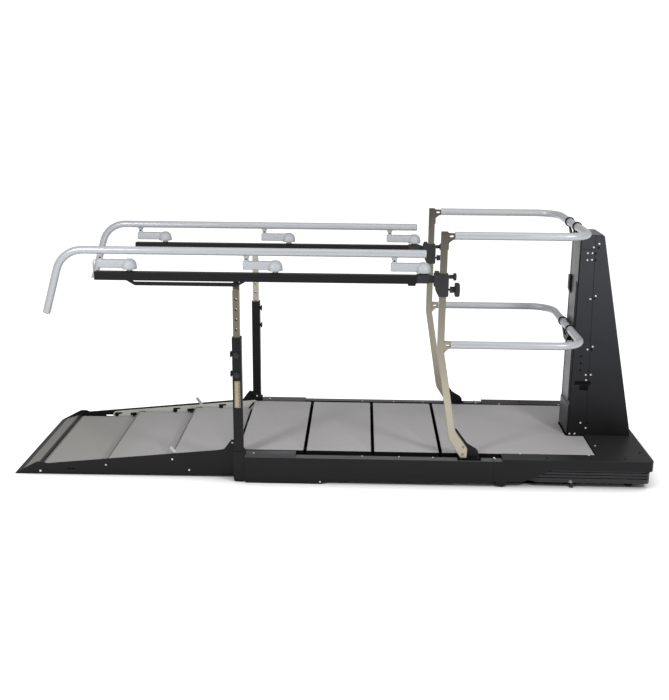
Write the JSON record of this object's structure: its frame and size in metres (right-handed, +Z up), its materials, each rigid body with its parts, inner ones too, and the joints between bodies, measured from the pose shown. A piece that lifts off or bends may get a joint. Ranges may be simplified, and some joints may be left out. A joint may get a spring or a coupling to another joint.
{
  "type": "rehabilitation stairs",
  "caption": "Powered rehabilitation stairs: flat ramp with fold-up step panels, three rising treads, lifting platform with guard rails, and adjustable tilting handrails",
  "frame": {"origin": "middle of the object's footprint, on the floor", "axes": "X runs from the ramp tip at -X to the lifting tower at +X, Y across the walkway, Z up; the side seen in the picture is -Y"},
  "size_m": [3.228, 0.97, 1.282],
  "materials": {
    "black": "satin fine-textured black powder coat",
    "silver": "light silver-grey satin powder coat",
    "strip": "light grey satin powder coat",
    "vinyl": "matt mid-grey anti-slip sheet on black folded steel",
    "champagne": "champagne satin anodised look",
    "bronze": "bronze-champagne anodised tube",
    "zinc": "grey-green zinc plate",
    "plastic": "black moulded plastic"
  },
  "bodies": {
    "base": {"base_frame": "black", "side_rail_near": "strip", "side_rail_far": "strip", "front_cover_near": "black", "front_cover_far": "black", "rear_cover": "black", "rear_base": "black", "ramp_frame": "black", "ramp_nose": "black", "post_tube_near": "black", "post_tube_far": "black", "tower_side_near": "black", "tower_side_far": "black", "tower_rear_cover": "black", "actuator_body": "strip"},
    "platform": {"platform_deck": "vinyl", "mast": "silver", "actuator_rod": "zinc", "upright_near": "champagne", "upright_far": "champagne", "guard_rail_upper": "silver", "guard_rail_lower": "silver", "rail_saddle_upper": "black", "rail_saddle_lower": "black", "mast_hook": "black"},
    "tread_1": {"tread_1": "vinyl"},
    "tread_2": {"tread_2": "vinyl"},
    "tread_3": {"tread_3": "vinyl"},
    "lift_frame": {"lift_frame": "black"},
    "ramp_lever": {"ramp_lever": "silver"},
    "ramp_panel_1": {"ramp_panel_1": "vinyl"},
    "ramp_panel_2": {"ramp_panel_2": "vinyl"},
    "ramp_panel_3": {"ramp_panel_3": "vinyl"},
    "rail_clamp_near": {"rail_clamp_near": "black"},
    "post_inner_near": {"post_inner_near": "bronze"},
    "beam_near": {"beam_near": "black", "beam_end_near": "black"},
    "handrail_near": {"handrail_near": "silver"},
    "swing_arm_near_1": {"swing_arm_near_1": "silver"},
    "swing_arm_near_2": {"swing_arm_near_2": "silver"},
    "swing_arm_near_3": {"swing_arm_near_3": "silver"},
    "post_knob_near_1": {"post_knob_near_1": "plastic"},
    "post_knob_near_2": {"post_knob_near_2": "plastic"},
    "clamp_knob_small_near": {"clamp_knob_small_near": "plastic"},
    "clamp_knob_large_near": {"clamp_knob_large_near": "plastic"},
    "ramp_link_near": {"ramp_link_near": "zinc"},
    "rail_clamp_far": {"rail_clamp_far": "black"},
    "post_inner_far": {"post_inner_far": "bronze"},
    "beam_far": {"beam_far": "black", "beam_end_far": "black"},
    "handrail_far": {"handrail_far": "silver"},
    "swing_arm_far_1": {"swing_arm_far_1": "silver"},
    "swing_arm_far_2": {"swing_arm_far_2": "silver"},
    "swing_arm_far_3": {"swing_arm_far_3": "silver"},
    "post_knob_far_1": {"post_knob_far_1": "plastic"},
    "post_knob_far_2": {"post_knob_far_2": "plastic"},
    "clamp_knob_small_far": {"clamp_knob_small_far": "plastic"},
    "clamp_knob_large_far": {"clamp_knob_large_far": "plastic"},
    "ramp_link_far": {"ramp_link_far": "zinc"}
  },
  "joints": [
    {"name": "platform_lift", "type": "slide", "parent": "base", "child": "platform", "axis": [0, 0, 1], "range_m": [0, 0.66]},
    {"name": "tread_1_lift", "type": "slide", "parent": "base", "child": "tread_1", "axis": [0, 0, 1], "range_m": [0, 0.166]},
    {"name": "tread_2_lift", "type": "slide", "parent": "base", "child": "tread_2", "axis": [0, 0, 1], "range_m": [0, 0.331]},
    {"name": "tread_3_lift", "type": "slide", "parent": "base", "child": "tread_3", "axis": [0, 0, 1], "range_m": [0, 0.496]},
    {"name": "lift_frame_hinge", "type": "hinge", "parent": "base", "child": "lift_frame", "pos_m": [-0.449, 0, 0.0715], "axis": [0, -1, 0], "range_deg": [0, 27.7]},
    {"name": "rail_height_near", "type": "slide", "parent": "platform", "child": "rail_clamp_near", "axis": [0, 0, 1], "range_m": [-0.2, 0.1]},
    {"name": "post_height_near", "type": "slide", "parent": "base", "child": "post_inner_near", "axis": [0, 0, 1], "range_m": [-0.201, 0.101]},
    {"name": "beam_tilt_near", "type": "hinge", "parent": "rail_clamp_near", "child": "beam_near", "pos_m": [0.501, -0.447, 1.045], "axis": [0, -1, 0], "range_deg": [0, 34.3]},
    {"name": "arm_swing_near_1", "type": "hinge", "parent": "beam_near", "child": "swing_arm_near_1", "pos_m": [-0.966, -0.447, 1.0835], "axis": [0, 0, -1], "range_deg": [0, 80]},
    {"name": "arm_swing_near_2", "type": "hinge", "parent": "beam_near", "child": "swing_arm_near_2", "pos_m": [-0.264, -0.447, 1.0835], "axis": [0, 0, -1], "range_deg": [0, 80.1]},
    {"name": "arm_swing_near_3", "type": "hinge", "parent": "beam_near", "child": "swing_arm_near_3", "pos_m": [0.443, -0.447, 1.0835], "axis": [0, 0, -1], "range_deg": [0, 80.1]},
    {"name": "handrail_turn_near", "type": "hinge", "parent": "swing_arm_near_2", "child": "handrail_near", "pos_m": [-0.402, -0.447, 1.168], "axis": [0, 0, 1], "range_deg": [0, 80.1]},
    {"name": "post_knob_turn_near_1", "type": "hinge", "parent": "base", "child": "post_knob_near_1", "pos_m": [-0.4775, -0.447, 0.661], "axis": [-1, 0, 0], "range_deg": [-90, 270]},
    {"name": "post_knob_turn_near_2", "type": "hinge", "parent": "base", "child": "post_knob_near_2", "pos_m": [-0.4775, -0.447, 0.561], "axis": [-1, 0, 0], "range_deg": [-90, 270]},
    {"name": "clamp_knob_turn_small_near", "type": "hinge", "parent": "rail_clamp_near", "child": "clamp_knob_small_near", "pos_m": [0.565, -0.447, 1.06], "axis": [1, 0, 0], "range_deg": [-90, 270]},
    {"name": "clamp_knob_turn_large_near", "type": "hinge", "parent": "rail_clamp_near", "child": "clamp_knob_large_near", "pos_m": [0.565, -0.447, 0.997], "axis": [1, 0, 0], "range_deg": [-90, 270]},
    {"name": "rail_height_far", "type": "slide", "parent": "platform", "child": "rail_clamp_far", "axis": [0, 0, 1], "range_m": [-0.2, 0.1]},
    {"name": "post_height_far", "type": "slide", "parent": "base", "child": "post_inner_far", "axis": [0, 0, 1], "range_m": [-0.201, 0.101]},
    {"name": "beam_tilt_far", "type": "hinge", "parent": "rail_clamp_far", "child": "beam_far", "pos_m": [0.501, 0.447, 1.045], "axis": [0, -1, 0], "range_deg": [0, 34.3]},
    {"name": "arm_swing_far_1", "type": "hinge", "parent": "beam_far", "child": "swing_arm_far_1", "pos_m": [-0.966, 0.447, 1.0835], "axis": [0, 0, 1], "range_deg": [0, 80]},
    {"name": "arm_swing_far_2", "type": "hinge", "parent": "beam_far", "child": "swing_arm_far_2", "pos_m": [-0.264, 0.447, 1.0835], "axis": [0, 0, 1], "range_deg": [0, 80.1]},
    {"name": "arm_swing_far_3", "type": "hinge", "parent": "beam_far", "child": "swing_arm_far_3", "pos_m": [0.443, 0.447, 1.0835], "axis": [0, 0, 1], "range_deg": [0, 80.1]},
    {"name": "handrail_turn_far", "type": "hinge", "parent": "swing_arm_far_2", "child": "handrail_far", "pos_m": [-0.402, 0.447, 1.168], "axis": [0, 0, -1], "range_deg": [0, 80.1]},
    {"name": "post_knob_turn_far_1", "type": "hinge", "parent": "base", "child": "post_knob_far_1", "pos_m": [-0.4325, 0.447, 0.693], "axis": [1, 0, 0], "range_deg": [-90, 270]},
    {"name": "post_knob_turn_far_2", "type": "hinge", "parent": "base", "child": "post_knob_far_2", "pos_m": [-0.4325, 0.447, 0.592], "axis": [1, 0, 0], "range_deg": [-90, 270]},
    {"name": "clamp_knob_turn_small_far", "type": "hinge", "parent": "rail_clamp_far", "child": "clamp_knob_small_far", "pos_m": [0.565, 0.447, 1.06], "axis": [1, 0, 0], "range_deg": [-90, 270]},
    {"name": "clamp_knob_turn_large_far", "type": "hinge", "parent": "rail_clamp_far", "child": "clamp_knob_large_far", "pos_m": [0.565, 0.447, 0.997], "axis": [1, 0, 0], "range_deg": [-90, 270]},
    {"name": "ramp_lever_turn", "type": "hinge", "parent": "base", "child": "ramp_lever", "pos_m": [-0.746, 0, 0.068], "axis": [0, 1, 0], "range_deg": [0, 50]},
    {"name": "ramp_link_slide_near", "type": "slide", "parent": "base", "child": "ramp_link_near", "axis": [-0.995, 0, -0.0995], "range_m": [0, 0.0301]},
    {"name": "ramp_link_slide_far", "type": "slide", "parent": "base", "child": "ramp_link_far", "axis": [-0.995, 0, -0.0995], "range_m": [0, 0.0301]},
    {"name": "ramp_panel_tilt_1", "type": "hinge", "parent": "base", "child": "ramp_panel_1", "pos_m": [-1.481, 0, 0.029], "axis": [0, -1, 0], "range_deg": [0, 5.32]},
    {"name": "ramp_panel_tilt_2", "type": "hinge", "parent": "base", "child": "ramp_panel_2", "pos_m": [-1.146, 0, 0.06], "axis": [0, -1, 0], "range_deg": [0, 5.42]},
    {"name": "ramp_panel_tilt_3", "type": "hinge", "parent": "base", "child": "ramp_panel_3", "pos_m": [-0.809, 0, 0.092], "axis": [0, -1, 0], "range_deg": [0, 6.42]}
  ],
  "couplings": [
    {"joint": "tread_1_lift", "follows": "platform_lift", "ratio": 0.25},
    {"joint": "tread_2_lift", "follows": "platform_lift", "ratio": 0.5},
    {"joint": "tread_3_lift", "follows": "platform_lift", "ratio": 0.75},
    {"joint": "lift_frame_hinge", "follows": "platform_lift", "rad_per_m": 0.7299},
    {"joint": "post_height_near", "follows": "rail_height_near", "ratio": 1},
    {"joint": "beam_tilt_near", "follows": "platform_lift", "rad_per_m": 0.9063},
    {"joint": "arm_swing_near_2", "follows": "arm_swing_near_1", "ratio": 1},
    {"joint": "arm_swing_near_3", "follows": "arm_swing_near_1", "ratio": 1},
    {"joint": "handrail_turn_near", "follows": "arm_swing_near_1", "ratio": 1},
    {"joint": "post_height_far", "follows": "rail_height_far", "ratio": 1},
    {"joint": "beam_tilt_far", "follows": "platform_lift", "rad_per_m": 0.9063},
    {"joint": "arm_swing_far_2", "follows": "arm_swing_far_1", "ratio": 1},
    {"joint": "arm_swing_far_3", "follows": "arm_swing_far_1", "ratio": 1},
    {"joint": "handrail_turn_far", "follows": "arm_swing_far_1", "ratio": 1},
    {"joint": "ramp_link_slide_near", "follows": "ramp_lever_turn", "m_per_rad": 0.034377},
    {"joint": "ramp_link_slide_far", "follows": "ramp_lever_turn", "m_per_rad": 0.034377},
    {"joint": "ramp_panel_tilt_1", "follows": "ramp_lever_turn", "ratio": 0.106},
    {"joint": "ramp_panel_tilt_2", "follows": "ramp_lever_turn", "ratio": 0.108},
    {"joint": "ramp_panel_tilt_3", "follows": "ramp_lever_turn", "ratio": 0.128}
  ]
}
